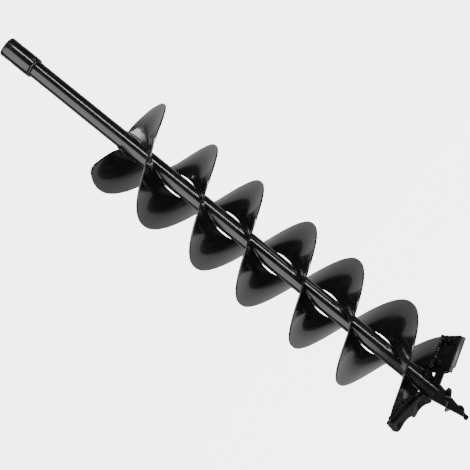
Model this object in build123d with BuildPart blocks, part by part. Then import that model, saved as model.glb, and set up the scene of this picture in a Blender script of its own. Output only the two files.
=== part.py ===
from build123d import *
from math import cos, radians, sin
import os

# Double-start earth auger bit, 150 mm flights, in millimetres.
# The origin is the centre of the drive socket's mouth. +Z points out of the mouth, so the bit hangs below it.
# Angles are about Z, from +X. Both flights are right-handed.

os.makedirs("parts", exist_ok=True)

# Driving dimensions
flight_radius = 75.0
flight_hole_radius = 14.2
flight_thickness = 2.5
flight_lead = 172.0
flight_sections = 3
section_angle = 366.0

shaft_radius = 12.5
shaft_bore_radius = 9.5
shaft_bottom = -762.0

socket_radius = 15.0
socket_bore_radius = 10.0
socket_length = 52.0
socket_bore_depth = 38.0
cross_hole_radius = 4.0
cross_hole_depth = 16.5

pilot_bottom = -818.0
pilot_tip_radius = 2.8
pilot_shank_length = 42.0
pilot_lead = 28.0

plate_thickness = 4.0
blade_rear = {"a": 14.0, "b": 9.5}
holder_rear = {"a": 8.5, "b": 6.5}
holder_front = 31.5
screw_radius = 3.0
screw_clearance = 0.2
screw_head_radius = 6.0
cross_bolt_radius = 4.0
cross_bolt_height = -737.2
cross_bolt_azimuth = -40.0

fit_gap = 0.05

# Each flight: the azimuth at which it passes the height flight_top, and the line on which its start is cut.
flight_top = -215.0
flights = {
    "a": {"azimuth": 211.0, "lead_in": 16.0, "cut_azimuth": 225.0, "cut_offset": -4.7},
    "b": {"azimuth": 19.2, "lead_in": 26.0, "cut_azimuth": 42.0, "cut_offset": -2.5},
}
corner_radius = 11.0


def radial(azimuth):
    # Unit vector that points outwards at this azimuth
    return Vector(cos(radians(azimuth)), sin(radians(azimuth)), 0)


def radial_plane(azimuth, height):
    # Upright plane through the axis: its x runs outwards and its y runs up
    out = radial(azimuth)
    return Plane(origin=(0, 0, height), x_dir=out, z_dir=Vector(out.Y, -out.X, 0))


def flight_path(radius, start_azimuth, start_height, end_height):
    # Helix on the flights' lead that rises from this azimuth and height
    rise = end_height - start_height
    turn = Helix(flight_lead, rise, radius, center=(0, 0, start_height), mode=Mode.PRIVATE)
    return add(turn.rotate(Axis.Z, start_azimuth))


def height_on_flight(flight, azimuth):
    return flight_top + (azimuth - flight["azimuth"]) * flight_lead / 360


def half_turned(vector):
    # The same direction on the opposite side of the bit
    return Vector(-vector.X, -vector.Y, vector.Z)


# Seat planes of the two blades. x runs outwards along the blade, y forwards to its cutting edge,
# and z towards the tip. The holder is on the -z side and the blade on the +z side.
# The two are half a turn apart, except that seat b lies 1 mm further towards the tip.
seat_azimuth = 31.0
seat_pitch = 47.0
seat_sweep = 12.3
level = radial(seat_azimuth)
forward = Vector(level.Y, -level.X, 0)
downhill = forward * cos(radians(seat_pitch)) - Vector(0, 0, 1) * sin(radians(seat_pitch))
outward = level * cos(radians(seat_sweep)) - downhill * sin(radians(seat_sweep))
tipward = level.cross(downhill)
seat_origin = Vector(61.5, 43.0, -725.6)
origin_a = half_turned(seat_origin) + half_turned(tipward) * 1.0
origin_b = seat_origin + tipward * 2.0
seats = {
    "a": Plane(origin=origin_a, x_dir=half_turned(outward), z_dir=half_turned(tipward)),
    "b": Plane(origin=origin_b, x_dir=outward, z_dir=tipward),
}
screw_places = {"a": [(-9, 24), (-58.5, 25.8)], "b": [(-6.5, 16), (-49, 16)]}


def seat_section(seat, forward):
    # Plane square to the seat at this distance forwards, seen from behind the blade
    return Plane(origin=seat.from_local_coords((0, forward, 0)), x_dir=seat.x_dir, z_dir=seat.y_dir)


def save(builder, name):
    builder.part.label = name
    export_step(builder.part, "parts/" + name + ".step")


# Drive socket: a sleeve welded over the top of the shaft, with a cross hole for the drive pin
with BuildPart() as drive_socket:
    with BuildSketch(Plane.XZ):
        with BuildLine():
            Polyline(
                (socket_bore_radius, 0),
                (socket_bore_radius, -socket_bore_depth),
                (shaft_radius + fit_gap, -socket_bore_depth),
                (shaft_radius + fit_gap, -socket_length + 4),
                (socket_radius - 0.6, -socket_length + 4),
                (socket_radius, -socket_length + 5),
                (socket_radius, -0.8),
                (socket_radius - 0.8, 0),
                close=True,
            )
        make_face()
    revolve(axis=Axis.Z)
    with BuildSketch(Plane.YZ.offset(-socket_radius - 1)):
        with Locations((0, -cross_hole_depth)):
            Circle(cross_hole_radius)
    extrude(amount=2 * socket_radius + 2, mode=Mode.SUBTRACT)
save(drive_socket, "drive_socket")

# Weld ring that closes the step from the socket down to the shaft
with BuildPart() as socket_weld:
    with BuildSketch(Plane.XZ):
        with BuildLine():
            Polyline(
                (shaft_radius, -socket_length - 1.5),
                (socket_radius - 0.6, -socket_length + 4),
                (shaft_radius, -socket_length + 4),
                close=True,
            )
        make_face()
    revolve(axis=Axis.Z)
save(socket_weld, "socket_weld")

# Shaft: one plain tube, cross-drilled near its foot for the pilot's bolt
cross_bolt_plane = Plane(
    origin=radial(cross_bolt_azimuth) * -(shaft_radius + 10) + Vector(0, 0, cross_bolt_height),
    z_dir=radial(cross_bolt_azimuth),
)
with BuildPart() as shaft_tube:
    with BuildSketch(Plane.XY.offset(shaft_bottom)):
        Circle(shaft_radius)
        Circle(shaft_bore_radius, mode=Mode.SUBTRACT)
    extrude(amount=-socket_bore_depth - shaft_bottom)
    with BuildSketch(cross_bolt_plane):
        Circle(cross_bolt_radius + screw_clearance)
    extrude(amount=2 * shaft_radius + 20, mode=Mode.SUBTRACT)
save(shaft_tube, "shaft_tube")

# Flights: each is three sheet sections of about one turn, welded end to end down the shaft.
# The hole in the sheets is wider than the shaft, so there is an open gap that only the stitch welds bridge.
# The first section starts on a straight cut with its corner taken off, the last ends behind its blade holder.
flight_feet = {}
for letter, flight in flights.items():
    top_azimuth = flight["azimuth"] + flight["lead_in"]
    for number in range(1, flight_sections + 1):
        start = top_azimuth - (number - 1) * section_angle
        end = start - section_angle
        if number == flight_sections:
            end = end - 30
        foot = height_on_flight(flight, end)
        with BuildPart() as section:
            with BuildLine():
                flight_path(flight_radius, end, foot, height_on_flight(flight, start))
            with BuildSketch(radial_plane(end, foot)):
                with Locations(((flight_hole_radius + flight_radius) / 2, 0)):
                    Rectangle(flight_radius - flight_hole_radius, flight_thickness)
            sweep(is_frenet=True)
            if number == 1:
                cut_direction = radial(flight["cut_azimuth"])
                across = Vector(-cut_direction.Y, cut_direction.X, 0)
                cut_base = across * flight["cut_offset"] + Vector(0, 0, flight_top + 10)
                cut_plane = Plane(origin=cut_base, x_dir=cut_direction, z_dir=across)
                with BuildSketch(cut_plane):
                    with Locations((flight_radius / 2, 0)):
                        Rectangle(flight_radius + 10, 40)
                extrude(amount=30, mode=Mode.SUBTRACT)
                corner = cut_base + cut_direction * flight_radius
                with BuildSketch(Plane(origin=corner, x_dir=cut_direction, z_dir=(0, 0, 1))):
                    with Locations((5, 5)):
                        Rectangle(corner_radius + 5, corner_radius + 5, align=(Align.MAX, Align.MAX))
                    with Locations((-corner_radius, -corner_radius)):
                        Circle(corner_radius, mode=Mode.SUBTRACT)
                extrude(amount=30, both=True, mode=Mode.SUBTRACT)
            if number == flight_sections:
                seat = seats[letter]
                with BuildSketch(seat_section(seat, holder_rear[letter])):
                    Rectangle(300, 300)
                extrude(amount=150, mode=Mode.SUBTRACT)
                flight_feet[letter] = section
        save(section, "flight_" + letter + "_section_" + str(number))

# Stitch welds: one at the start of each flight and then one a turn, from the shaft to the sheet's edge
stitches = {
    "a": [(150, 214), (55, 125), (-305, -235), (-665, -595)],
    "b": [(-30, 34), (-305, -235), (-665, -595), (-1100, -955)],
}
for letter, flight in flights.items():
    with BuildPart() as flight_weld:
        for end, start in stitches[letter]:
            foot = height_on_flight(flight, end)
            with BuildLine():
                flight_path(shaft_radius, end, foot, height_on_flight(flight, start))
            with BuildSketch(radial_plane(end, foot)):
                with BuildLine():
                    Polyline(
                        (shaft_radius + 0.01, -2.5),
                        (flight_hole_radius - 0.02, -1.0),
                        (flight_hole_radius - 0.02, flight_thickness / 2 + 0.02),
                        (flight_hole_radius + 2.4, flight_thickness / 2 + 0.02),
                        (shaft_radius + 0.01, flight_thickness / 2 + 4.2),
                        close=True,
                    )
                make_face()
            sweep(is_frenet=True)
    save(flight_weld, "flight_" + letter + "_weld")

# Blade holders: thick plates welded to the feet of the flights, with a narrower tab towards the shaft
outer_ends = {
    "a": [(1, holder_rear["a"]), (1, 18), (-1, 25), (-4, holder_front)],
    "b": [(4, holder_rear["b"]), (7, holder_front)],
}
shoulders = {
    "a": [(-63, holder_front), (-65.5, 25.8)],
    "b": [(-60, holder_front), (-62.5, 25.8)],
}
tab_rear = 14.0
# A weld bead runs along the rear edge of each, in the corner where the flight's foot lands on it.
bead_centres = {"a": (8.0, -1.5), "b": (6.45, -5.55)}
bead_radii = {"a": 2.6, "b": 3.2}
bead_lengths = {"a": 59, "b": 62}
for letter, seat in seats.items():
    with BuildPart() as holder:
        with BuildSketch(seat):
            with BuildLine():
                Polyline(
                    *outer_ends[letter],
                    *shoulders[letter],
                    (-81, 25.8),
                    (-81, tab_rear),
                    (-62, tab_rear),
                    (-62, holder_rear[letter]),
                    close=True,
                )
            make_face()
            with Locations(*screw_places[letter]):
                Circle(screw_radius + screw_clearance, mode=Mode.SUBTRACT)
        extrude(amount=-plate_thickness)
    save(holder, "blade_holder_" + letter)

    bead_end = seat.from_local_coords((-60, *bead_centres[letter]))
    with BuildPart() as holder_weld:
        with BuildSketch(Plane(origin=bead_end, z_dir=seat.x_dir)):
            Circle(bead_radii[letter])
        extrude(amount=bead_lengths[letter])
        add(holder.part, mode=Mode.SUBTRACT)
        add(flight_feet[letter].part, mode=Mode.SUBTRACT)
    save(holder_weld, "holder_" + letter + "_weld")


def grind(seat, inner_end, length, grind_start, edge):
    # Takes the drive side of a blade's front down to a thin land, from grind_start forwards to the edge
    side = Plane(origin=seat.from_local_coords((inner_end, 0, 0)), x_dir=seat.y_dir, z_dir=seat.x_dir)
    with BuildSketch(side) as wedge:
        with BuildLine():
            Polyline(
                (grind_start, 0),
                (edge, plate_thickness - edge_land),
                (edge + 9, plate_thickness - edge_land),
                (edge + 9, -1),
                (grind_start, -1),
                close=True,
            )
        make_face()
    extrude(wedge.sketch, amount=length, mode=Mode.SUBTRACT)


def countersink(letter):
    # Holes for the flat-headed screws, opening towards the tip
    seat = seats[letter]
    mouths = [seat.from_local_coords((x, y, plate_thickness)) for x, y in screw_places[letter]]
    with Locations(*[Plane(origin=mouth, x_dir=seat.x_dir, z_dir=seat.z_dir) for mouth in mouths]):
        CounterSinkHole(
            screw_radius + screw_clearance,
            screw_head_radius,
            depth=plate_thickness,
            counter_sink_angle=90,
        )


# Straight blade: a long ground edge, with a short step back at its inner end
edge_land = 0.5
with BuildPart() as straight_blade:
    with BuildSketch(seats["b"]):
        with BuildLine():
            Polyline(
                (7.1, blade_rear["b"]),
                (9.6, 35.6),
                (-46.8, 35.6),
                (-46.8, 33.5),
                (-55.8, 33.5),
                (-55.8, blade_rear["b"]),
                close=True,
            )
        make_face()
    extrude(amount=plate_thickness)
    grind(seats["b"], -46.8, 70, 31.5, 35.6)
    grind(seats["b"], -66.8, 20, 30.0, 33.5)
    countersink("b")
save(straight_blade, "straight_blade")

# Toothed blade: three blunt teeth with shallow scallops between them
with BuildPart() as toothed_blade:
    with BuildSketch(seats["a"]):
        with BuildLine():
            Polyline((-88, 20), (-62, blade_rear["a"]), (5, blade_rear["a"]), (5, 18.5), (2, 26.5))
            Polyline((2, 26.5), (-3, 30.8), (-7, 32), (-12, 31.7))
            Spline((-12, 31.7), (-22, 28.4), (-37.5, 29.4))
            Polyline((-37.5, 29.4), (-43.5, 35.2), (-46.5, 35.7), (-55.5, 32.6))
            Spline((-55.5, 32.6), (-65, 32.4), (-74.5, 34.7))
            Polyline((-74.5, 34.7), (-83, 38.7), (-86.5, 38.7), (-88, 37.2), (-88, 20))
        make_face()
    extrude(amount=plate_thickness)
    grind(seats["a"], -95, 120, 28.2, 39.2)
    countersink("a")
save(toothed_blade, "toothed_blade")

# Blade fasteners: flat-headed screws from the tip side, with a spring washer and a nut on the drive side
clamped = 2 * plate_thickness
washer_thickness = 1.6
blade_nut_height = 5.0
screw_length = clamped + washer_thickness + blade_nut_height + 4.0
with BuildPart() as blade_screws:
    for letter, seat in seats.items():
        for x, y in screw_places[letter]:
            head = seat.from_local_coords((x, y, plate_thickness))
            with BuildSketch(Plane(origin=head, x_dir=seat.x_dir, z_dir=seat.y_dir)):
                with BuildLine():
                    Polyline(
                        (0, 0),
                        (screw_head_radius, 0),
                        (screw_radius, screw_head_radius - screw_radius),
                        (screw_radius, screw_length - 0.6),
                        (screw_radius - 0.6, screw_length),
                        (0, screw_length),
                        close=True,
                    )
                make_face()
            revolve(axis=Axis(head, seat.z_dir))
            with BuildSketch(Plane(origin=head, x_dir=seat.x_dir, z_dir=seat.z_dir)):
                RegularPolygon(2.0, 6, major_radius=False)
            extrude(amount=-2, mode=Mode.SUBTRACT)
save(blade_screws, "blade_screws")

with BuildPart() as blade_washers:
    for letter, seat in seats.items():
        for x, y in screw_places[letter]:
            face = seat.from_local_coords((x, y, -plate_thickness))
            with BuildSketch(Plane(origin=face, x_dir=seat.x_dir, z_dir=-seat.z_dir)):
                Circle(screw_head_radius - 0.4)
                Circle(screw_radius + screw_clearance, mode=Mode.SUBTRACT)
            extrude(amount=washer_thickness)
save(blade_washers, "blade_washers")

with BuildPart() as blade_nuts:
    for letter, seat in seats.items():
        for x, y in screw_places[letter]:
            face = seat.from_local_coords((x, y, -plate_thickness - washer_thickness))
            with BuildSketch(Plane(origin=face, x_dir=seat.x_dir, z_dir=-seat.z_dir)):
                RegularPolygon(5.0, 6, major_radius=False)
                Circle(screw_radius + fit_gap, mode=Mode.SUBTRACT)
            extrude(amount=blade_nut_height)
save(blade_nuts, "blade_nuts")

# Pilot: a cone whose shank fits inside the foot of the shaft
cone_foot = pilot_bottom + 7
cone_foot_radius = 3.1
cone_height = shaft_bottom - 0.5 - cone_foot
with BuildPart() as pilot_point:
    with BuildSketch(Plane.XZ):
        with BuildLine():
            Polyline(
                (0, pilot_bottom),
                (pilot_tip_radius - 0.8, pilot_bottom),
                (pilot_tip_radius, pilot_bottom + 0.8),
                (cone_foot_radius, cone_foot),
                (shaft_radius, cone_foot + cone_height),
                (shaft_radius, shaft_bottom),
                (shaft_bore_radius - fit_gap, shaft_bottom),
                (shaft_bore_radius - fit_gap, shaft_bottom + pilot_shank_length - 1),
                (shaft_bore_radius - 1, shaft_bottom + pilot_shank_length),
                (0, shaft_bottom + pilot_shank_length),
                close=True,
            )
        make_face()
    revolve(axis=Axis.Z)
    with BuildSketch(cross_bolt_plane):
        Circle(cross_bolt_radius + screw_clearance)
    extrude(amount=2 * shaft_radius + 20, mode=Mode.SUBTRACT)
save(pilot_point, "pilot_point")

# Pilot spiral: a tapering strip wound down the cone
spiral_top = -772.9
spiral_top_azimuth = 20.0
spiral_turn = 560.0
spiral_height = spiral_turn / 360 * pilot_lead
spiral_bottom = spiral_top - spiral_height
from_below = (Align.CENTER, Align.CENTER, Align.MIN)
with BuildPart() as pilot_spiral:
    with BuildLine():
        turn = Helix(pilot_lead, spiral_height, 10, center=(0, 0, spiral_bottom), mode=Mode.PRIVATE)
        add(turn.rotate(Axis.Z, spiral_top_azimuth - spiral_turn))
    with BuildSketch(radial_plane(spiral_top_azimuth - spiral_turn, spiral_bottom)):
        with BuildLine():
            Polyline((1, -2.1), (20, -0.9), (20, 0.9), (1, 2.1), close=True)
        make_face()
    sweep(is_frenet=True)
    with Locations((0, 0, pilot_bottom + 0.8)):
        Cone(4.0, 19.5, 48, align=from_below, mode=Mode.INTERSECT)
    with Locations((0, 0, cone_foot)):
        Cone(cone_foot_radius, shaft_radius, cone_height, align=from_below, mode=Mode.SUBTRACT)
    with Locations((0, 0, pilot_bottom)):
        Cylinder(cone_foot_radius, cone_foot - pilot_bottom, align=from_below, mode=Mode.SUBTRACT)
save(pilot_spiral, "pilot_spiral")

# Cross bolt and nut that hold the pilot in the shaft
bolt_out = radial(cross_bolt_azimuth)
bolt_middle = Vector(0, 0, cross_bolt_height)
head_seat = Plane(origin=bolt_middle - bolt_out * shaft_radius, z_dir=bolt_out)
nut_seat = Plane(origin=bolt_middle + bolt_out * shaft_radius, z_dir=bolt_out)
half_flats = 6.5
with BuildPart() as pilot_bolt:
    with BuildSketch(head_seat):
        RegularPolygon(half_flats, 6, major_radius=False)
    extrude(amount=-5.3)
    with BuildSketch(head_seat):
        Circle(cross_bolt_radius)
    extrude(amount=2 * shaft_radius + 8.5)
save(pilot_bolt, "pilot_bolt")

with BuildPart() as pilot_nut:
    with BuildSketch(nut_seat):
        RegularPolygon(half_flats, 6, major_radius=False)
        Circle(cross_bolt_radius + fit_gap, mode=Mode.SUBTRACT)
    extrude(amount=6.5)
save(pilot_nut, "pilot_nut")
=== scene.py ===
import math

import bmesh
import bpy
from mathutils import Matrix, Vector


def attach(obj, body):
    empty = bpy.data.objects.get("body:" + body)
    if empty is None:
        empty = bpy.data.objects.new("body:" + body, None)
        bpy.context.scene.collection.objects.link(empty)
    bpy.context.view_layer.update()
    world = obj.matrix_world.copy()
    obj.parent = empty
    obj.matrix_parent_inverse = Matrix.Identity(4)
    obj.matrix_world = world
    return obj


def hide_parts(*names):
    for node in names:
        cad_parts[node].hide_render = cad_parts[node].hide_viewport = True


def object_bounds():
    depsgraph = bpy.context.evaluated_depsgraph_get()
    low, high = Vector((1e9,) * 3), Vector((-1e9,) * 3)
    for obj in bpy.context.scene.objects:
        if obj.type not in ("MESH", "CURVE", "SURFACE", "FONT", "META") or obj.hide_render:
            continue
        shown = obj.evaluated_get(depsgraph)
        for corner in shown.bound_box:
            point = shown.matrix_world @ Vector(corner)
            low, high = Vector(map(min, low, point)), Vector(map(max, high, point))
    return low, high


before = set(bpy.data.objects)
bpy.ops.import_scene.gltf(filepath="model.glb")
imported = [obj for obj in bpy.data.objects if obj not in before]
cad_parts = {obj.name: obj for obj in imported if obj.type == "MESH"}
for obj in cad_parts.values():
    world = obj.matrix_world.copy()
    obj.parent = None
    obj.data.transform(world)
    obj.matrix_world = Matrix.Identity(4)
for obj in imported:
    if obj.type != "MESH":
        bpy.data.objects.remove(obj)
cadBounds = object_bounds()
mm = 0.001
print("frame loaded:", len(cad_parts), "nodes")


# the camera comes first, so that everything after it can be looked at
cameraSetup = {
    "lens": 87.5,
    "distance": 1.5743,
    "aim": Vector((0, 0, -0.40096)),
    "roll": math.radians(38.928),
    "lookUp": math.radians(3.8),
    "slideRight": 0.00795,
    "slideDown": 0.01297,
}


def addCamera(setup):
    roll, tilt = setup["roll"], setup["lookUp"]
    forward = Vector((0, math.cos(tilt), math.sin(tilt)))
    acrossUp = Vector((0, -math.sin(tilt), math.cos(tilt)))
    side = Vector((1, 0, 0))
    right = math.sin(roll) * side - math.cos(roll) * acrossUp
    up = math.cos(roll) * side + math.sin(roll) * acrossUp
    turn = Matrix((right, up, -forward)).transposed()
    place = setup["aim"] - forward * setup["distance"]
    place += right * setup["slideRight"] - up * setup["slideDown"]
    data = bpy.data.cameras.new("camera")
    data.lens = setup["lens"]
    data.sensor_width = 36
    data.clip_end = 50
    camera = bpy.data.objects.new("camera", data)
    camera.matrix_world = Matrix.Translation(place) @ turn.to_4x4()
    bpy.context.scene.collection.objects.link(camera)
    bpy.context.scene.camera = camera


addCamera(cameraSetup)
print("camera placed")


# small makers used by every material and node tree


def addNode(tree, kind, **settings):
    node = tree.nodes.new(kind)
    for key, value in settings.items():
        setattr(node, key, value)
    return node


def feed(tree, node, key, value):
    # a socket takes a link, and anything else is set on it directly
    if isinstance(value, bpy.types.NodeSocket):
        tree.links.new(value, node.inputs[key])
    else:
        node.inputs[key].default_value = value


def calc(tree, operation, first, second=0.0, third=0.0, clamp=False):
    node = addNode(tree, "ShaderNodeMath", operation=operation, use_clamp=clamp)
    for index, value in enumerate((first, second, third)):
        feed(tree, node, index, value)
    return node.outputs[0]


def noiseOn(tree, coords, scale, detail=2.0, rough=0.5, stretch=None, turn=None):
    vector = coords
    if turn is not None:
        turned = addNode(tree, "ShaderNodeMapping")
        feed(tree, turned, "Vector", vector)
        turned.inputs["Rotation"].default_value = turn
        vector = turned.outputs[0]
    if stretch is not None:
        stretched = addNode(tree, "ShaderNodeMapping")
        feed(tree, stretched, "Vector", vector)
        stretched.inputs["Scale"].default_value = stretch
        vector = stretched.outputs[0]
    noise = addNode(tree, "ShaderNodeTexNoise")
    feed(tree, noise, "Vector", vector)
    noise.inputs["Scale"].default_value = scale
    noise.inputs["Detail"].default_value = detail
    noise.inputs["Roughness"].default_value = rough
    return noise.outputs[0]


def spread(tree, value, low, high, toLow, toHigh):
    node = addNode(tree, "ShaderNodeMapRange")
    for index, item in enumerate((value, low, high, toLow, toHigh)):
        feed(tree, node, index, item)
    return node.outputs[0]


def mixColours(tree, factor, first, second):
    node = addNode(tree, "ShaderNodeMix", data_type="RGBA")
    feed(tree, node, 0, factor)
    feed(tree, node, 6, first)
    feed(tree, node, 7, second)
    return node.outputs[2]


def newMaterial(name):
    material = bpy.data.materials.new(name)
    material.use_nodes = True
    tree = material.node_tree
    shader = tree.nodes["Principled BSDF"]
    coords = addNode(tree, "ShaderNodeTexCoord").outputs["Object"]
    return material, tree, shader, coords


def bumpFrom(tree, shader, *layers):
    # each layer is (height, depth in metres, strength), and they are stacked
    below = None
    for height, depth, strength in layers:
        bump = addNode(tree, "ShaderNodeBump")
        feed(tree, bump, "Height", height)
        bump.inputs["Distance"].default_value = depth
        bump.inputs["Strength"].default_value = strength
        if below is not None:
            tree.links.new(below, bump.inputs["Normal"])
        below = bump.outputs[0]
    tree.links.new(below, shader.inputs["Normal"])


paintLook = {
    "black": (0.0062, 0.0068, 0.0088, 1),
    "blackThick": (0.013, 0.0135, 0.015, 1),
    "primer": (0.05, 0.05, 0.052, 1),
    "bareSteel": (0.30, 0.30, 0.31, 1),
    "orangePeel": 620.0,
    "glossFrom": 0.16,
    "glossTo": 0.30,
}


def paintedBlack(name, look, rimRadius=None):
    material, tree, shader, coords = newMaterial(name)
    pools = noiseOn(tree, coords, 22, 3, 0.55)
    peel = noiseOn(tree, coords, look["orangePeel"], 2, 0.5)
    specks = noiseOn(tree, coords, 1900, 1, 0.5)
    dust = spread(tree, noiseOn(tree, coords, 75, 6, 0.72), 0.52, 0.74, 0.0, 1.0)
    colour = mixColours(tree, pools, look["black"], look["blackThick"])
    colour = mixColours(tree, calc(tree, "MULTIPLY", dust, 0.10), colour, look["primer"])
    gloss = spread(tree, pools, 0.3, 0.7, look["glossFrom"], look["glossTo"])
    gloss = calc(tree, "ADD", gloss, calc(tree, "MULTIPLY", dust, 0.14))
    if rimRadius is not None:
        # the sheet's rim takes the knocks: small chips in the paint, only on the last millimetre
        parts = addNode(tree, "ShaderNodeSeparateXYZ")
        feed(tree, parts, 0, coords)
        squares = [calc(tree, "MULTIPLY", parts.outputs[k], parts.outputs[k]) for k in range(2)]
        radius = calc(tree, "SQRT", calc(tree, "ADD", *squares))
        nearRim = spread(tree, radius, rimRadius - 0.0016, rimRadius - 0.0002, 0.0, 1.0)
        chips = spread(tree, noiseOn(tree, coords, 260, 4, 0.7), 0.56, 0.66, 0.0, 1.0)
        worn = calc(tree, "MULTIPLY", nearRim, chips, clamp=True)
        colour = mixColours(tree, calc(tree, "MULTIPLY", worn, 0.18), colour, look["bareSteel"])
        gloss = calc(tree, "ADD", gloss, calc(tree, "MULTIPLY", worn, 0.2))
    feed(tree, shader, "Base Color", colour)
    feed(tree, shader, "Roughness", gloss)
    shader.inputs["Coat Weight"].default_value = 0.85
    shader.inputs["Coat Roughness"].default_value = 0.07
    shader.inputs["Coat IOR"].default_value = 1.5
    bumpFrom(tree, shader, (pools, 0.0004, 0.025), (peel, 0.00012, 0.02), (specks, 0.00003, 0.008))
    return material


def groundSteel(name, turn):
    material, tree, shader, coords = newMaterial(name)
    scratches = noiseOn(tree, coords, 30, 4, 0.65, stretch=(70, 2.2, 2.2), turn=turn)
    fine = noiseOn(tree, coords, 110, 3, 0.6, stretch=(40, 1.5, 1.5), turn=turn)
    heat = noiseOn(tree, coords, 45, 3, 0.5)
    colour = mixColours(tree, spread(tree, scratches, 0.3, 0.7, 0, 1), (0.50, 0.50, 0.51, 1), (0.78, 0.78, 0.79, 1))
    colour = mixColours(tree, spread(tree, heat, 0.55, 0.75, 0, 0.35), colour, (0.42, 0.39, 0.36, 1))
    feed(tree, shader, "Base Color", colour)
    shader.inputs["Metallic"].default_value = 1.0
    feed(tree, shader, "Roughness", spread(tree, fine, 0.3, 0.7, 0.24, 0.42))
    bumpFrom(tree, shader, (scratches, 0.00006, 0.25), (fine, 0.00003, 0.2))
    return material


def hardenedPlate(name):
    material, tree, shader, coords = newMaterial(name)
    clouds = noiseOn(tree, coords, 60, 5, 0.6)
    pits = spread(tree, noiseOn(tree, coords, 900, 3, 0.6), 0.58, 0.72, 0, 1)
    scuffs = spread(tree, noiseOn(tree, coords, 140, 5, 0.7, stretch=(1, 5, 3)), 0.56, 0.7, 0, 1)
    colour = mixColours(tree, clouds, (0.016, 0.016, 0.018, 1), (0.034, 0.034, 0.037, 1))
    colour = mixColours(tree, calc(tree, "MULTIPLY", scuffs, 0.35), colour, (0.11, 0.11, 0.112, 1))
    feed(tree, shader, "Base Color", colour)
    shader.inputs["Metallic"].default_value = 0.25
    feed(tree, shader, "Roughness", spread(tree, clouds, 0.3, 0.7, 0.26, 0.42))
    shader.inputs["Coat Weight"].default_value = 0.5
    shader.inputs["Coat Roughness"].default_value = 0.16
    bumpFrom(tree, shader, (clouds, 0.0003, 0.12), (pits, 0.00005, 0.2))
    return material


def oxideSteel(name):
    material, tree, shader, coords = newMaterial(name)
    clouds = noiseOn(tree, coords, 240, 4, 0.6)
    worn = spread(tree, noiseOn(tree, coords, 520, 4, 0.7), 0.56, 0.72, 0, 1)
    colour = mixColours(tree, clouds, (0.017, 0.017, 0.018, 1), (0.035, 0.035, 0.036, 1))
    colour = mixColours(tree, calc(tree, "MULTIPLY", worn, 0.4), colour, (0.16, 0.155, 0.15, 1))
    feed(tree, shader, "Base Color", colour)
    shader.inputs["Metallic"].default_value = 0.6
    feed(tree, shader, "Roughness", spread(tree, clouds, 0.3, 0.7, 0.27, 0.44))
    bumpFrom(tree, shader, (clouds, 0.00012, 0.2))
    return material


shaftPaint = paintedBlack("shaft paint", paintLook)
flightPaint = paintedBlack("flight paint", paintLook, rimRadius=0.075)
weldPaint = paintedBlack("weld paint", dict(paintLook, glossFrom=0.12, glossTo=0.24, orangePeel=900.0))
bladePlate = hardenedPlate("hardened blade plate")
fastenerOxide = oxideSteel("fastener oxide")
print("materials made")


# finishing


def finishPiece(piece, material, slotName, *nodes, smoothBelow=math.radians(32), keepNormals=False):
    if material is not None and not piece.data.materials:
        piece.data.materials.append(material)
    piece.data.polygons.foreach_set("use_smooth", [True] * len(piece.data.polygons))
    if not keepNormals:
        piece.data.set_sharp_from_angle(angle=smoothBelow)
    piece.data.update()
    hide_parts(*nodes)
    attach(piece, "root")
    return piece


def meshPiece(name, mesh):
    piece = bpy.data.objects.new(name, mesh)
    bpy.context.scene.collection.objects.link(piece)
    return piece


def closeUp(mesh, mergeWithin=2e-6):
    # doubles merged and faces turned outwards
    work = bmesh.new()
    work.from_mesh(mesh)
    bmesh.ops.remove_doubles(work, verts=work.verts, dist=mergeWithin)
    bmesh.ops.dissolve_degenerate(work, edges=work.edges, dist=1e-7)
    bmesh.ops.recalc_face_normals(work, faces=work.faces)
    work.to_mesh(mesh)
    work.free()


def settle(piece, name):
    # the result of the live modifiers as one plain mesh, in place of the piece
    bpy.context.view_layer.update()
    graph = bpy.context.evaluated_depsgraph_get()
    mesh = bpy.data.meshes.new_from_object(piece.evaluated_get(graph), depsgraph=graph)
    old = piece.data
    bpy.data.objects.remove(piece)
    if old.users == 0 and isinstance(old, bpy.types.Mesh):
        bpy.data.meshes.remove(old)
    mesh.name = name
    return meshPiece(name, mesh)


def roundEdges(piece, width, segments=2, angle=30):
    bevel = piece.modifiers.new("rounded edges", "BEVEL")
    bevel.width = width
    bevel.segments = segments
    bevel.limit_method = "ANGLE"
    bevel.angle_limit = math.radians(angle)
    bevel.harden_normals = False
    bevel.use_clamp_overlap = True
    return piece


# node trees


def newTree(name, inputs):
    tree = bpy.data.node_groups.new(name, "GeometryNodeTree")
    kinds = {"float": "NodeSocketFloat", "int": "NodeSocketInt", "material": "NodeSocketMaterial",
             "object": "NodeSocketObject", "geometry": "NodeSocketGeometry"}
    for label, kind in inputs.items():
        tree.interface.new_socket(name=label, in_out="INPUT", socket_type=kinds[kind])
    tree.interface.new_socket(name="Geometry", in_out="OUTPUT", socket_type="NodeSocketGeometry")
    given = addNode(tree, "NodeGroupInput").outputs
    return tree, given


def endTree(tree, geometry, material):
    real = addNode(tree, "GeometryNodeRealizeInstances")
    tree.links.new(geometry, real.inputs[0])
    shade = addNode(tree, "GeometryNodeSetShadeSmooth")
    tree.links.new(real.outputs[0], shade.inputs[0])
    paint = addNode(tree, "GeometryNodeSetMaterial")
    tree.links.new(shade.outputs[0], paint.inputs[0])
    tree.links.new(material, paint.inputs["Material"])
    tree.links.new(paint.outputs[0], addNode(tree, "NodeGroupOutput").inputs[0])


def runTree(tree, name, values, base=None):
    # inputs are set by their sockets' identifiers before the first evaluation
    piece = meshPiece(name, bpy.data.meshes.new(name)) if base is None else base
    modifier = piece.modifiers.new(tree.name, "NODES")
    modifier.node_group = tree
    for item in tree.interface.items_tree:
        if item.in_out == "INPUT" and item.name in values:
            modifier[item.identifier] = values[item.name]
    return settle(piece, name)


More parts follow.
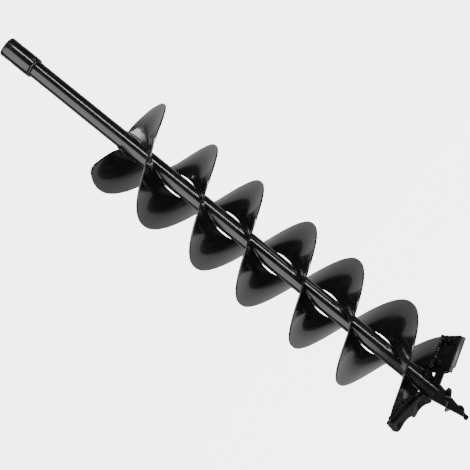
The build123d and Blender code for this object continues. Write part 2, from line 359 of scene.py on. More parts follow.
def screwSheetTree():
    # a sheet wound round the axis: a grid whose x turns and falls, and whose y runs outwards.
    # its start can be cut along a straight line beside a radius, with the outer corner rounded off.
    tree, given = newTree("screw sheet", {
        "Outer Radius": "float", "Inner Radius": "float", "Outer Taper": "float", "Inner Taper": "float",
        "Lead": "float", "Thickness": "float", "Rim Thickness": "float",
        "Known Angle": "float", "Known Height": "float", "Start Angle": "float", "End Angle": "float",
        "Cut Offset": "float", "Corner Radius": "float", "Steps": "int", "Rings": "int", "Material": "material"})
    grid = addNode(tree, "GeometryNodeMeshGrid")
    grid.inputs["Size X"].default_value = 1
    grid.inputs["Size Y"].default_value = 1
    tree.links.new(given["Steps"], grid.inputs["Vertices X"])
    tree.links.new(given["Rings"], grid.inputs["Vertices Y"])
    place = addNode(tree, "ShaderNodeSeparateXYZ")
    tree.links.new(addNode(tree, "GeometryNodeInputPosition").outputs[0], place.inputs[0])
    along = calc(tree, "ADD", place.outputs[0], 0.5)
    # rings crowd towards the rim, so that its rounding doesn't bend the shading of the face
    inwards = calc(tree, "SUBTRACT", 0.5, place.outputs[1], clamp=True)
    outwards = calc(tree, "SUBTRACT", 1.0, calc(tree, "POWER", inwards, 1.5))
    slope = calc(tree, "DIVIDE", given["Lead"], 2 * math.pi)

    def heightAt(angle):
        turnedBy = calc(tree, "SUBTRACT", angle, given["Known Angle"])
        return calc(tree, "ADD", given["Known Height"], calc(tree, "MULTIPLY", turnedBy, slope))

    wholeTurn = calc(tree, "SUBTRACT", given["End Angle"], given["Start Angle"])
    turned = calc(tree, "ADD", given["Start Angle"], calc(tree, "MULTIPLY", along, wholeTurn))
    drop = calc(tree, "SUBTRACT", heightAt(turned), heightAt(given["Start Angle"]))
    outer = calc(tree, "ADD", given["Outer Radius"], calc(tree, "MULTIPLY", drop, given["Outer Taper"]))
    inner = calc(tree, "ADD", given["Inner Radius"], calc(tree, "MULTIPLY", drop, given["Inner Taper"]))
    radius = calc(tree, "ADD", inner, calc(tree, "MULTIPLY", outwards, calc(tree, "SUBTRACT", outer, inner)))

    squared = calc(tree, "MULTIPLY", radius, radius)
    beside = given["Cut Offset"]
    for _ in range(4):
        reach = calc(tree, "SQRT", calc(tree, "SUBTRACT", squared, calc(tree, "MULTIPLY", beside, beside)))
        cornerStart = calc(tree, "SUBTRACT", given["Outer Radius"], given["Corner Radius"])
        past = calc(tree, "MAXIMUM", calc(tree, "SUBTRACT", reach, cornerStart), 0.0)
        past = calc(tree, "MINIMUM", past, given["Corner Radius"])
        cornerSquared = calc(tree, "MULTIPLY", given["Corner Radius"], given["Corner Radius"])
        arc = calc(tree, "SQRT", calc(tree, "SUBTRACT", cornerSquared,
                                      calc(tree, "MULTIPLY", past, past)))
        beside = calc(tree, "SUBTRACT", given["Cut Offset"], calc(tree, "SUBTRACT", given["Corner Radius"], arc))
    start = calc(tree, "ADD", given["Start Angle"], calc(tree, "ARCSINE", calc(tree, "DIVIDE", beside, radius)))
    angle = calc(tree, "ADD", start, calc(tree, "MULTIPLY", along, calc(tree, "SUBTRACT", given["End Angle"], start)))

    rimExtra = calc(tree, "SUBTRACT", given["Rim Thickness"], given["Thickness"])
    thick = calc(tree, "ADD", given["Thickness"], calc(tree, "MULTIPLY", outwards, rimExtra))
    spot = addNode(tree, "ShaderNodeCombineXYZ")
    tree.links.new(calc(tree, "MULTIPLY", radius, calc(tree, "COSINE", angle)), spot.inputs[0])
    tree.links.new(calc(tree, "MULTIPLY", radius, calc(tree, "SINE", angle)), spot.inputs[1])
    tree.links.new(calc(tree, "SUBTRACT", heightAt(angle), calc(tree, "MULTIPLY", thick, 0.5)), spot.inputs[2])
    # thickness is kept on the points before they move
    keep = addNode(tree, "GeometryNodeStoreNamedAttribute", data_type="FLOAT", domain="POINT")
    keep.inputs["Name"].default_value = "thick"
    tree.links.new(grid.outputs[0], keep.inputs[0])
    tree.links.new(thick, keep.inputs["Value"])
    wound = addNode(tree, "GeometryNodeSetPosition")
    tree.links.new(keep.outputs[0], wound.inputs[0])
    tree.links.new(spot.outputs[0], wound.inputs["Position"])

    raised = addNode(tree, "GeometryNodeExtrudeMesh", mode="FACES")
    raised.inputs["Individual"].default_value = False
    raised.inputs["Offset Scale"].default_value = 0.0
    tree.links.new(wound.outputs[0], raised.inputs["Mesh"])
    read = addNode(tree, "GeometryNodeInputNamedAttribute", data_type="FLOAT")
    read.inputs["Name"].default_value = "thick"
    rise = addNode(tree, "ShaderNodeCombineXYZ")
    tree.links.new(read.outputs[0], rise.inputs[2])
    lifted = addNode(tree, "GeometryNodeSetPosition")
    tree.links.new(raised.outputs["Mesh"], lifted.inputs[0])
    tree.links.new(raised.outputs["Top"], lifted.inputs["Selection"])
    tree.links.new(rise.outputs[0], lifted.inputs["Offset"])
    under = addNode(tree, "GeometryNodeFlipFaces")
    tree.links.new(wound.outputs[0], under.inputs[0])
    both = addNode(tree, "GeometryNodeJoinGeometry")
    tree.links.new(lifted.outputs[0], both.inputs[0])
    tree.links.new(under.outputs[0], both.inputs[0])
    joined = addNode(tree, "GeometryNodeMergeByDistance")
    tree.links.new(both.outputs[0], joined.inputs[0])
    joined.inputs["Distance"].default_value = 1e-6
    endTree(tree, joined.outputs[0], given["Material"])
    return tree


def weldBeadTree():
    # a rippled bead laid along a curve
    tree, given = newTree("weld bead", {
        "Path": "geometry", "Bead Radius": "float", "Ripple Pitch": "float", "Ripple Depth": "float",
        "Wander": "float", "Seed": "int", "Around": "int", "Material": "material"})
    even = addNode(tree, "GeometryNodeResampleCurve", mode="LENGTH")
    tree.links.new(given["Path"], even.inputs["Curve"])
    tree.links.new(calc(tree, "DIVIDE", given["Ripple Pitch"], 5.0), even.inputs["Length"])
    travelled = addNode(tree, "GeometryNodeSplineParameter").outputs["Length"]
    phase = calc(tree, "FRACT", calc(tree, "DIVIDE", travelled, given["Ripple Pitch"]))
    hump = calc(tree, "SINE", calc(tree, "MULTIPLY", calc(tree, "POWER", phase, 0.7), math.pi))
    lumps = addNode(tree, "ShaderNodeTexNoise", noise_dimensions="1D")
    tree.links.new(calc(tree, "ADD", calc(tree, "MULTIPLY", travelled, 150.0), given["Seed"]), lumps.inputs["W"])
    swell = calc(tree, "ADD", calc(tree, "MULTIPLY", hump, given["Ripple Depth"]),
                 calc(tree, "MULTIPLY", calc(tree, "SUBTRACT", lumps.outputs[0], 0.5), given["Wander"]))
    sized = addNode(tree, "GeometryNodeSetCurveRadius")
    tree.links.new(even.outputs[0], sized.inputs[0])
    tree.links.new(calc(tree, "MULTIPLY", given["Bead Radius"], calc(tree, "ADD", 1.0, swell)), sized.inputs["Radius"])
    ring = addNode(tree, "GeometryNodeCurvePrimitiveCircle")
    ring.inputs["Radius"].default_value = 1
    tree.links.new(given["Around"], ring.inputs["Resolution"])
    bead = addNode(tree, "GeometryNodeCurveToMesh")
    tree.links.new(sized.outputs[0], bead.inputs["Curve"])
    tree.links.new(ring.outputs[0], bead.inputs["Profile Curve"])
    bead.inputs["Fill Caps"].default_value = True
    if "Scale" in bead.inputs:
        radiusRead = addNode(tree, "GeometryNodeInputRadius")
        tree.links.new(radiusRead.outputs[0], bead.inputs["Scale"])
    endTree(tree, bead.outputs[0], given["Material"])
    return tree


def fastenerTree():
    # one fastener set on every point, its z along the point's direction, each turned by its own amount
    tree, given = newTree("set fasteners", {
        "Points": "geometry", "Fastener": "object", "Seed": "int", "Material": "material"})
    facing = addNode(tree, "GeometryNodeInputNamedAttribute", data_type="FLOAT_VECTOR")
    facing.inputs["Name"].default_value = "facing"
    aim = addNode(tree, "FunctionNodeAlignRotationToVector", axis="Z")
    tree.links.new(facing.outputs[0], aim.inputs["Vector"])
    chance = addNode(tree, "FunctionNodeRandomValue", data_type="FLOAT")
    chance.inputs[2].default_value = 0.0
    chance.inputs[3].default_value = 2 * math.pi
    tree.links.new(given["Seed"], chance.inputs["Seed"])
    spin = addNode(tree, "FunctionNodeAxisAngleToRotation")
    spin.inputs["Axis"].default_value = (0, 0, 1)
    tree.links.new(chance.outputs[1], spin.inputs["Angle"])
    turned = addNode(tree, "FunctionNodeRotateRotation", rotation_space="LOCAL")
    tree.links.new(aim.outputs[0], turned.inputs["Rotation"])
    tree.links.new(spin.outputs[0], turned.inputs["Rotate By"])
    source = addNode(tree, "GeometryNodeObjectInfo")
    tree.links.new(given["Fastener"], source.inputs["Object"])
    placed = addNode(tree, "GeometryNodeInstanceOnPoints")
    tree.links.new(given["Points"], placed.inputs["Points"])
    tree.links.new(source.outputs["Geometry"], placed.inputs["Instance"])
    tree.links.new(turned.outputs[0], placed.inputs["Rotation"])
    endTree(tree, placed.outputs[0], given["Material"])
    return tree


screwSheet = screwSheetTree()
weldBead = weldBeadTree()
setFasteners = fastenerTree()
print("node trees made")


# seats of the two blades: x outwards along the blade, y forwards to its edge, z towards the tip

seatSetup = {
    "azimuth": 31.0,
    "pitch": 47.0,
    "sweep": 12.3,
    "origin": (61.5, 43.0, -725.6),
    "tipShift": {"a": 1.0, "b": 2.0},
}


def bladeSeats(setup):
    turn, pitch, sweep = (math.radians(setup[key]) for key in ("azimuth", "pitch", "sweep"))
    level = Vector((math.cos(turn), math.sin(turn), 0))
    ahead = Vector((level.y, -level.x, 0))
    downhill = ahead * math.cos(pitch) - Vector((0, 0, math.sin(pitch)))
    outward = (level * math.cos(sweep) - downhill * math.sin(sweep)).normalized()
    tipward = level.cross(downhill).normalized()
    straight = Matrix((outward, tipward.cross(outward), tipward)).transposed().to_4x4()
    flat = {letter: Matrix.Translation((Vector(setup["origin"]) + tipward * shift) * mm) @ straight
            for letter, shift in setup["tipShift"].items()}
    return {"a": Matrix.Rotation(math.pi, 4, "Z") @ flat["a"], "b": flat["b"]}


seats = bladeSeats(seatSetup)


# flights

flightSetup = {
    "outerRadius": 0.075,
    "innerRadius": 0.0142,
    "lead": 0.172,
    "thickness": 0.0025,
    "top": -0.215,
    "sections": 3,
    "sectionAngle": 366.0,
    "cornerRadius": 0.011,
    "stepsPerSection": 300,
    "rings": 15,
    "rimRounding": 0.0007,
    "footPast": 30.0,
    "footCut": {"a": 0.0085, "b": 0.0065},
}
flightStarts = {
    "a": {"azimuth": 211.0, "leadIn": 16.0, "cutAzimuth": 225.0, "cutOffset": -0.0047},
    "b": {"azimuth": 19.2, "leadIn": 26.0, "cutAzimuth": 42.0, "cutOffset": -0.0025},
}


def flightHeight(letter, azimuth):
    return flightSetup["top"] + (azimuth - flightStarts[letter]["azimuth"]) / 360 * flightSetup["lead"]


def cutFoot(piece, seat, forward):
    # the foot is cut square to the blade's seat, and the cut is filled
    work = bmesh.new()
    work.from_mesh(piece.data)
    normal = (seat.to_3x3() @ Vector((0, 1, 0))).normalized()
    point = seat @ Vector((0, forward, 0))
    cut = bmesh.ops.bisect_plane(work, geom=work.verts[:] + work.edges[:] + work.faces[:], plane_co=point,
                                 plane_no=normal, clear_outer=True)
    edges = [item for item in cut["geom_cut"] if isinstance(item, bmesh.types.BMEdge)]
    bmesh.ops.holes_fill(work, edges=edges, sides=0)
    bmesh.ops.recalc_face_normals(work, faces=work.faces)
    work.to_mesh(piece.data)
    work.free()


def makeFlightSection(letter, number):
    setup, start = flightSetup, flightStarts[letter]
    first = start["azimuth"] + start["leadIn"] - (number - 1) * setup["sectionAngle"]
    last = first - setup["sectionAngle"]
    name = "flight_" + letter + "_section_" + str(number)
    values = {
        "Outer Radius": setup["outerRadius"], "Inner Radius": setup["innerRadius"], "Lead": setup["lead"],
        "Outer Taper": 0.0, "Inner Taper": 0.0, "Thickness": setup["thickness"], "Rim Thickness": setup["thickness"],
        "Known Angle": math.radians(start["azimuth"]), "Known Height": setup["top"],
        "Start Angle": math.radians(first), "End Angle": math.radians(last),
        "Cut Offset": 0.0, "Corner Radius": 0.0,
        "Steps": setup["stepsPerSection"], "Rings": setup["rings"], "Material": flightPaint,
    }
    if number == 1:
        values["Start Angle"] = math.radians(start["cutAzimuth"])
        values["Cut Offset"] = start["cutOffset"]
        values["Corner Radius"] = setup["cornerRadius"]
    if number == setup["sections"]:
        values["End Angle"] = math.radians(last - setup["footPast"])
    piece = runTree(screwSheet, name + "_sheet", values)
    closeUp(piece.data)
    if number == setup["sections"]:
        cutFoot(piece, seats[letter], setup["footCut"][letter])
    roundEdges(piece, setup["rimRounding"], 3, 50)
    piece = settle(piece, name + "_sheet")
    return finishPiece(piece, flightPaint, "gloss_black", name, smoothBelow=math.radians(40))


for letter in flightStarts:
    for number in range(1, flightSetup["sections"] + 1):
        makeFlightSection(letter, number)
print("flights wound")


# weld beads

beadSetup = {"radius": 0.0026, "pitch": 0.0021, "depth": 0.10, "wander": 0.22, "around": 14}


def beadPath(name, runs):
    curve = bpy.data.curves.new(name, "CURVE")
    curve.dimensions = "3D"
    for points in runs:
        spline = curve.splines.new("POLY")
        spline.points.add(len(points) - 1)
        for item, point in zip(spline.points, points):
            item.co = (*point, 1)
    piece = bpy.data.objects.new(name, curve)
    bpy.context.scene.collection.objects.link(piece)
    return piece


def layBead(name, runs, slotNodes, seed, radius=None, setup=beadSetup):
    values = {"Bead Radius": radius or setup["radius"], "Ripple Pitch": setup["pitch"], "Ripple Depth": setup["depth"],
              "Wander": setup["wander"], "Seed": seed, "Around": setup["around"], "Material": weldPaint}
    piece = runTree(weldBead, name, values, beadPath(name + "_path", runs))
    closeUp(piece.data)
    return finishPiece(piece, weldPaint, "gloss_black", *slotNodes, smoothBelow=math.radians(75))


def helixPoints(radius, fromAzimuth, toAzimuth, heightOf, step=3.0):
    count = max(2, round(abs(toAzimuth - fromAzimuth) / step))
    points = []
    for index in range(count + 1):
        azimuth = fromAzimuth + (toAzimuth - fromAzimuth) * index / count
        turn = math.radians(azimuth)
        points.append(Vector((radius * math.cos(turn), radius * math.sin(turn), heightOf(azimuth))))
    return points


# stitches that bridge the gap from the shaft to the sheets, as start and end azimuths
stitchSetup = {
    "radius": 0.0134,
    "lift": 0.0014,
    "bead": 0.0021,
    "a": [(150, 214), (55, 125), (-305, -235), (-665, -595)],
    "b": [(-30, 34), (-305, -235), (-665, -595), (-1100, -955)],
}
for letter in flightStarts:
    runs = [helixPoints(stitchSetup["radius"], start, end,
                        lambda azimuth: flightHeight(letter, azimuth) + stitchSetup["lift"])
            for start, end in stitchSetup[letter]]
    layBead("flight_" + letter + "_bead", runs, ["flight_" + letter + "_weld"], seed=3 if letter == "a" else 11,
            radius=stitchSetup["bead"])

socketBead = {"ring": 0.0126, "height": -0.0500, "from": 20, "to": 386, "radius": 0.0022}
layBead("socket_bead",
        [helixPoints(socketBead["ring"], socketBead["from"], socketBead["to"], lambda azimuth: socketBead["height"])],
        ["socket_weld"], seed=5, radius=socketBead["radius"])

holderBeads = {
    "a": {"forward": 8.0, "depth": -1.5, "length": 59, "radius": 0.0025, "seed": 21},
    "b": {"forward": 6.45, "depth": -5.55, "length": 62, "radius": 0.0030, "seed": 34},
}
for letter, bead in holderBeads.items():
    points = [seats[letter] @ (Vector((-60 + bead["length"] * index / 40, bead["forward"], bead["depth"])) * mm)
              for index in range(41)]
    layBead("holder_" + letter + "_bead", [points], ["holder_" + letter + "_weld"],
            seed=bead["seed"], radius=bead["radius"])
print("welds laid")


# turned pieces


def latheMesh(name, profile, segments=96):
    # profile is a closed outline of (radius, height); a point on the axis is left out by keeping it at radius 0
    work = bmesh.new()
    rings = []
    for radius, height in profile:
        if radius < 1e-9:
            rings.append([work.verts.new((0, 0, height))])
        else:
            turns = [2 * math.pi * k / segments for k in range(segments)]
            rings.append([work.verts.new((radius * math.cos(turn), radius * math.sin(turn), height)) for turn in turns])
    closed = profile[0][0] > 1e-9 and profile[-1][0] > 1e-9
    pairs = list(zip(rings, rings[1:])) + ([(rings[-1], rings[0])] if closed else [])
    for low, high in pairs:
        for k in range(segments):
            after = (k + 1) % segments
            corners = [low[k % len(low)], low[after % len(low)], high[after % len(high)], high[k % len(high)]]
            unique = list(dict.fromkeys(corners))
            if len(unique) > 2:
                work.faces.new(unique)
    bmesh.ops.recalc_face_normals(work, faces=work.faces)
    mesh = bpy.data.meshes.new(name)
    work.to_mesh(mesh)
    work.free()
    return mesh


shaftSetup = {"radius": 0.0125, "bore": 0.0095, "top": -0.038, "bottom": -0.762, "chamfer": 0.0004}
shaftProfile = [
    (shaftSetup["bore"], shaftSetup["bottom"]),
    (shaftSetup["radius"] - shaftSetup["chamfer"], shaftSetup["bottom"]),
    (shaftSetup["radius"], shaftSetup["bottom"] + shaftSetup["chamfer"]),
    (shaftSetup["radius"], shaftSetup["top"]),
    (shaftSetup["bore"], shaftSetup["top"]),
]
finishPiece(meshPiece("shaft", latheMesh("shaft", shaftProfile, 128)), shaftPaint, "gloss_black", "shaft_tube")

socketSetup = {"radius": 0.015, "bore": 0.010, "boreDepth": 0.038, "length": 0.048, "lip": 0.0009, "crossHole": 0.004,
               "crossDepth": 0.0165}


def makeSocket(setup):
    radius, lip = setup["radius"], setup["lip"]
    profile = [(setup["bore"], 0.0), (setup["bore"], -setup["boreDepth"]), (0.01256, -setup["boreDepth"]),
               (0.01256, -setup["length"]), (radius - 0.0006, -setup["length"]), (radius, -setup["length"] + 0.0009)]
    profile += [(radius - lip + lip * math.cos(turn), -lip + lip * math.sin(turn))
                for turn in (math.radians(15 * step) for step in range(7))]
    socket = meshPiece("socket", latheMesh("socket", profile, 128))
    reach = 0.03
    drillProfile = [(0, -reach), (setup["crossHole"], -reach), (setup["crossHole"], reach), (0, reach)]
    drill = meshPiece("drill", latheMesh("drill", drillProfile, 48))
    drill.data.transform(Matrix.Translation((0, 0, -setup["crossDepth"])) @ Matrix.Rotation(math.pi / 2, 4, "Y"))
    cut = socket.modifiers.new("cross hole", "BOOLEAN")
    cut.operation = "DIFFERENCE"
    cut.solver = "EXACT"
    cut.object = drill
    socket = settle(socket, "socket")
    bpy.data.objects.remove(drill)
    closeUp(socket.data)
    roundEdges(socket, 0.0004, 2, 50)
    socket = settle(socket, "socket")
    return finishPiece(socket, shaftPaint, "gloss_black", "drive_socket", smoothBelow=math.radians(35))


makeSocket(socketSetup)
print("shaft and socket turned")


# pilot

pilotSetup = {"lead": 0.028,
              "spiralTop": -0.7729, "spiralTopAzimuth": 20.0, "spiralTurn": 560.0}
coneProfile = [(0, -0.818), (0.0018, -0.818), (0.0025, -0.8177), (0.0028, -0.817), (0.0031, -0.811), (0.0064, -0.794),
               (0.0101, -0.7747), (0.0122, -0.7637), (0.0125, -0.7625), (0.0125, -0.762), (0.00945, -0.762),
               (0.00945, -0.721), (0.0085, -0.720), (0, -0.720)]
finishPiece(meshPiece("pilot_cone", latheMesh("pilot_cone", coneProfile, 96)), shaftPaint, "gloss_black", "pilot_point")

spiral = runTree(screwSheet, "pilot_thread", {
    "Outer Radius": 0.0173, "Inner Radius": 0.0095, "Outer Taper": 0.300, "Inner Taper": 0.172,
    "Lead": pilotSetup["lead"], "Thickness": 0.0041, "Rim Thickness": 0.0022,
    "Known Angle": math.radians(pilotSetup["spiralTopAzimuth"]), "Known Height": pilotSetup["spiralTop"],
    "Start Angle": math.radians(pilotSetup["spiralTopAzimuth"]),
    "End Angle": math.radians(pilotSetup["spiralTopAzimuth"] - pilotSetup["spiralTurn"]),
    "Cut Offset": 0.0, "Corner Radius": 0.0, "Steps": 160, "Rings": 6, "Material": shaftPaint})
closeUp(spiral.data)
roundEdges(spiral, 0.0006, 3, 50)
finishPiece(settle(spiral, "pilot_thread"), shaftPaint, "gloss_black", "pilot_spiral", smoothBelow=math.radians(45))
print("pilot made")


# plates, from copies of the exact solids with their edges eased


def easedCopy(node, name, width):
    piece = meshPiece(name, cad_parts[node].data.copy())
    piece.data.materials.clear()
    work = bmesh.new()
    work.from_mesh(piece.data)
    bmesh.ops.remove_doubles(work, verts=work.verts, dist=1e-6)
    bmesh.ops.dissolve_limit(work, angle_limit=math.radians(0.6), verts=work.verts, edges=work.edges)
    for item in work.faces:
        item.smooth = False
    work.to_mesh(piece.data)
    work.free()
    roundEdges(piece, width, 2, 28)
    piece.modifiers["rounded edges"].harden_normals = False
    return settle(piece, name)


for letter in seats:
    finishPiece(easedCopy("blade_holder_" + letter, "holder_" + letter + "_plate", 0.0006), shaftPaint, "gloss_black",
                "blade_holder_" + letter, smoothBelow=math.radians(28))


def makeBlade(node, name, seat):
    # the ground faces lean forwards and away from the tip, and the thin land in front is bright as well
    piece = easedCopy(node, name, 0.0003)
    turn = seat.to_3x3().to_euler()
    ground = groundSteel(name + " ground edge", (-turn.x, -turn.y, -turn.z))
    piece.data.materials.append(bladePlate)
    piece.data.materials.append(ground)
    back = seat.to_3x3().inverted()
    straight = node == "straight_blade"
    bevelFrom, landFrom = (0.0308, 0.033) if straight else (0.028, None)
    for polygon in piece.data.polygons:
        normal = back @ polygon.normal
        centre = seat.inverted() @ polygon.center
        leans = 0.25 < normal.y and -0.97 < normal.z < -0.2 and centre.y > bevelFrom
        isLand = straight and normal.y > 0.8 and centre.y > landFrom
        polygon.material_index = 1 if leans or isLand else 0
    return finishPiece(piece, None, "blade_steel", node, smoothBelow=math.radians(25))


makeBlade("straight_blade", "straight_cutter", seats["b"])
makeBlade("toothed_blade", "toothed_cutter", seats["a"])
print("plates and blades made")


# fasteners

fastenerSetup = {
    "places": {"a": [(-9, 24), (-58.5, 25.8)], "b": [(-6.5, 16), (-49, 16)]},
    "plate": 4.0,
    "washer": 1.6,
    "nutHeight": 5.0,
    "flats": 10.0,
}


def hexBody(name, flats, height, bore=0.0, segments=72):
    # a hexagon with the corners of both faces turned off, and a bore if there is one
    work = bmesh.new()
    rings = []
    levels = ("faceLow", "low", "high", "faceHigh")
    if bore:
        levels = ("boreLow", *levels, "boreHigh")
    for level in levels:
        ring = []
        for k in range(segments):
            turn = 2 * math.pi * k / segments
            reach = flats / 2 / math.cos((turn + math.pi / 6) % (math.pi / 3) - math.pi / 6)
            faced = flats * 0.475
            ease = (reach - faced) * 0.5
            radius = {"boreLow": bore, "boreHigh": bore, "faceLow": faced, "faceHigh": faced}.get(level, reach)
            lift = {"low": ease, "high": height - ease, "faceHigh": height,
                    "boreHigh": height - 0.0004, "boreLow": 0.0004}.get(level, 0.0)
            ring.append(work.verts.new((radius * math.cos(turn), radius * math.sin(turn), lift)))
        rings.append(ring)
    if bore:
        for height2, at in ((0.0, 1), (height, len(rings))):
            turns = [2 * math.pi * k / segments for k in range(segments)]
            mouth = bore + 0.0004
            ring = [work.verts.new((mouth * math.cos(turn), mouth * math.sin(turn), height2)) for turn in turns]
            rings.insert(at if at == 1 else len(rings) - 1, ring)
    pairs = list(zip(rings, rings[1:])) + ([(rings[-1], rings[0])] if bore else [])
    for low, high in pairs:
        for k in range(segments):
            after = (k + 1) % segments
            work.faces.new((low[k], low[after], high[after], high[k]))
    if not bore:
        work.faces.new(rings[0])
        work.faces.new(rings[-1])
    bmesh.ops.recalc_face_normals(work, faces=work.faces)
    mesh = bpy.data.meshes.new(name)
    work.to_mesh(mesh)
    work.free()
    return mesh


def springWasher(name, inner, outer, height, segments=60):
    # a split ring whose ends step past each other
    work = bmesh.new()
    rings = []
    for k in range(segments + 1):
        turn = math.radians(4) + math.radians(352) * k / segments
        lift = height * 0.18 * (k / segments - 0.5)
        rings.append([work.verts.new((radius * math.cos(turn), radius * math.sin(turn), level + lift))
                      for radius, level in ((inner, height * 0.12), (outer, height * 0.12),
                                            (outer, height * 0.88), (inner, height * 0.88))])
    for low, high in zip(rings, rings[1:]):
        for k in range(4):
            work.faces.new((low[k], low[(k + 1) % 4], high[(k + 1) % 4], high[k]))
    work.faces.new(rings[0])
    work.faces.new(rings[-1])
    bmesh.ops.recalc_face_normals(work, faces=work.faces)
    mesh = bpy.data.meshes.new(name)
    work.to_mesh(mesh)
    work.free()
    return mesh


def threadProfile(radius, fromZ, toZ, pitch=0.001):
    # close rings stand in for the thread's crests
    points, z = [], fromZ
    step = -pitch if toZ < fromZ else pitch
    for _ in range(int(abs(toZ - fromZ) / pitch)):
        points += [(radius, z + step * 0.15), (radius - pitch * 0.45, z + step * 0.55), (radius, z + step * 0.95)]
        z += step
    return points


def countersunkScrew(name):
    # z = 0 is the flush face of the head, and the shank goes down
    headAndNeck = [(0, -0.002), (0.0020, -0.002), (0.0023, 0.0), (0.0056, 0.0), (0.0058, -0.0003),
                   (0.003, -0.0030), (0.003, -0.0090)]
    work = latheMesh(name, headAndNeck
                     + threadProfile(0.003, -0.0092, -0.0180) + [(0.0024, -0.0186), (0, -0.0186)], 60)
    # the socket in the head has six sides
    for vertex in work.vertices:
        x, y, z = vertex.co
        reach = math.hypot(x, y)
        if 0.0015 < reach < 0.00235 and z > -0.0025:
            turn = math.atan2(y, x)
            fromFlat = (turn + math.pi / 6) % (math.pi / 3) - math.pi / 6
            vertex.co.xy = Vector((x, y)) * (0.002 / math.cos(fromFlat) / reach)
    return work


def seatPoints(name, depth, direction):
    mesh = bpy.data.meshes.new(name)
    spots, facings = [], []
    for letter, seat in seats.items():
        for along, forward in fastenerSetup["places"][letter]:
            spots.append(seat @ (Vector((along, forward, depth)) * mm))
            facings.append((seat.to_3x3() @ Vector((0, 0, direction))).normalized())
    mesh.from_pydata([tuple(spot) for spot in spots], [], [])
    layer = mesh.attributes.new("facing", "FLOAT_VECTOR", "POINT")
    layer.data.foreach_set("vector", [value for facing in facings for value in facing])
    return meshPiece(name, mesh)


def placeFasteners(name, shape, depth, direction, node, seed):
    source = meshPiece(name + "_source", shape)
    values = {"Fastener": source, "Seed": seed, "Material": fastenerOxide}
    piece = runTree(setFasteners, name, values, seatPoints(name + "_points", depth, direction))
    bpy.data.objects.remove(source)
    return finishPiece(piece, fastenerOxide, "black_fastener", node, smoothBelow=math.radians(24))


plate, washer, nutHeight, flats = (fastenerSetup[key] for key in ("plate", "washer", "nutHeight", "flats"))
placeFasteners("cutter_screws", countersunkScrew("screw"), plate, 1, "blade_screws", 2)
placeFasteners("cutter_washers", springWasher("washer", 0.0032, 0.0056, washer * mm), -plate, -1, "blade_washers", 7)
placeFasteners("cutter_nuts", hexBody("nut", flats * mm, nutHeight * mm, 0.00305), -plate - washer, -1, "blade_nuts", 4)

crossBolt = {
    "azimuth": -40.0,
    "height": -0.7372,
    "flats": 0.013,
    "headHeight": 0.0053,
    "nutHeight": 0.0065,
    "radius": 0.004,
}


def makeCrossBolt(setup):
    turn = math.radians(setup["azimuth"])
    out = Vector((math.cos(turn), math.sin(turn), 0))
    place = Matrix.Translation((0, 0, setup["height"])) @ out.to_track_quat("Z", "Y").to_matrix().to_4x4()
    shank = latheMesh("shank", [(0, -0.0125), (setup["radius"], -0.0125), (setup["radius"], 0.0125)]
                      + threadProfile(setup["radius"], 0.0125, 0.0205, 0.00125)
                      + [(setup["radius"] - 0.0008, 0.021), (0, 0.021)], 60)
    head = hexBody("head", setup["flats"], setup["headHeight"])
    head.transform(Matrix.Translation((0, 0, -0.0125 - setup["headHeight"])))
    work = bmesh.new()
    work.from_mesh(shank)
    work.from_mesh(head)
    work.to_mesh(shank)
    work.free()
    shank.transform(place)
    finishPiece(meshPiece("cross_bolt", shank), fastenerOxide, "black_fastener", "pilot_bolt",
                smoothBelow=math.radians(24))
    nut = hexBody("cross nut", setup["flats"], setup["nutHeight"], setup["radius"] + 0.00005)
    nut.transform(place @ Matrix.Translation((0, 0, 0.0125)))
    finishPiece(meshPiece("cross_nut", nut), fastenerOxide, "black_fastener", "pilot_nut", smoothBelow=math.radians(24))


makeCrossBolt(crossBolt)
print("fasteners set")


# floor, world and lights

stageSetup = {
    "floorDrop": 0.30,
    "floorSize": 40.0,
    "white": 5.0,
    "behind": 0.36,
    "front": 0.025,
    "below": 0.12,
    "brightFrom": (0.32, 0.50),
}


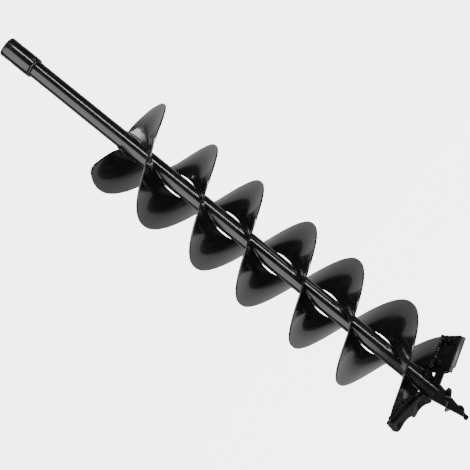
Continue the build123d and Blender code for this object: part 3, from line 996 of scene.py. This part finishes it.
def addFloor(setup):
    material, tree, shader, coords = newMaterial("pale floor")
    tone = noiseOn(tree, coords, 3, 2, 0.5)
    feed(tree, shader, "Base Color", mixColours(tree, tone, (0.90, 0.90, 0.90, 1), (0.94, 0.94, 0.94, 1)))
    shader.inputs["Roughness"].default_value = 0.8
    shader.inputs["Specular IOR Level"].default_value = 0.1
    shader.inputs["Emission Color"].default_value = (1, 1, 1, 1)
    shader.inputs["Emission Strength"].default_value = setup["white"]
    mesh = bpy.data.meshes.new("floor")
    half = setup["floorSize"] / 2
    level = cadBounds[0][2] - setup["floorDrop"]
    corners = [(-half, -half, level), (half, -half, level), (half, half, level), (-half, half, level)]
    mesh.from_pydata(corners, [], [(0, 1, 2, 3)])
    floor = meshPiece("floor", mesh)
    mesh.materials.append(material)
    # it is seen but throws no light back onto the bit
    floor.visible_diffuse = floor.visible_glossy = False


def addWorld(setup):
    # seen directly the studio is white; the paint mirrors a bright sweep behind, a dim room in front
    # and a faint glow from below
    world = bpy.data.worlds.new("studio")
    bpy.context.scene.world = world
    world.use_nodes = True
    tree = world.node_tree
    tree.nodes.clear()
    way = addNode(tree, "ShaderNodeSeparateXYZ")
    tree.links.new(addNode(tree, "ShaderNodeTexCoord").outputs["Generated"], way.inputs[0])
    behind = spread(tree, way.outputs[1], *setup["brightFrom"], setup["front"], setup["behind"])
    behind = calc(tree, "ADD", behind, spread(tree, way.outputs[2], -0.75, -0.3, setup["below"], 0.0))
    seen = addNode(tree, "ShaderNodeLightPath").outputs["Is Camera Ray"]
    strength = calc(tree, "ADD", calc(tree, "MULTIPLY", seen, calc(tree, "SUBTRACT", setup["white"], behind)), behind)
    glow = addNode(tree, "ShaderNodeBackground")
    glow.inputs["Color"].default_value = (1, 1, 1, 1)
    tree.links.new(strength, glow.inputs["Strength"])
    tree.links.new(glow.outputs[0], addNode(tree, "ShaderNodeOutputWorld").inputs["Surface"])


def addPanel(name, place, target, width, height, power):
    data = bpy.data.lights.new(name, "AREA")
    data.shape = "RECTANGLE"
    data.size = width
    data.size_y = height
    data.energy = power
    panel = bpy.data.objects.new(name, data)
    panel.location = place
    panel.rotation_euler = (Vector(target) - Vector(place)).to_track_quat("-Z", "Y").to_euler()
    bpy.context.scene.collection.objects.link(panel)


addFloor(stageSetup)
addWorld(stageSetup)
addPanel("left panel", (-1.6, -1.35, 0.0), (0, 0, -0.4), 3.0, 1.8, 40)
addPanel("right panel", (1.5, -1.8, -0.2), (0, 0, -0.4), 0.2, 1.8, 22)
addPanel("edge panel", (2.4, -0.5, -0.53), (0.05, 0, -0.73), 0.6, 0.4, 1.5)
addPanel("top panel", (0.2, -0.4, 1.8), (0, 0, -0.4), 1.6, 1.2, 45)
print("studio set")
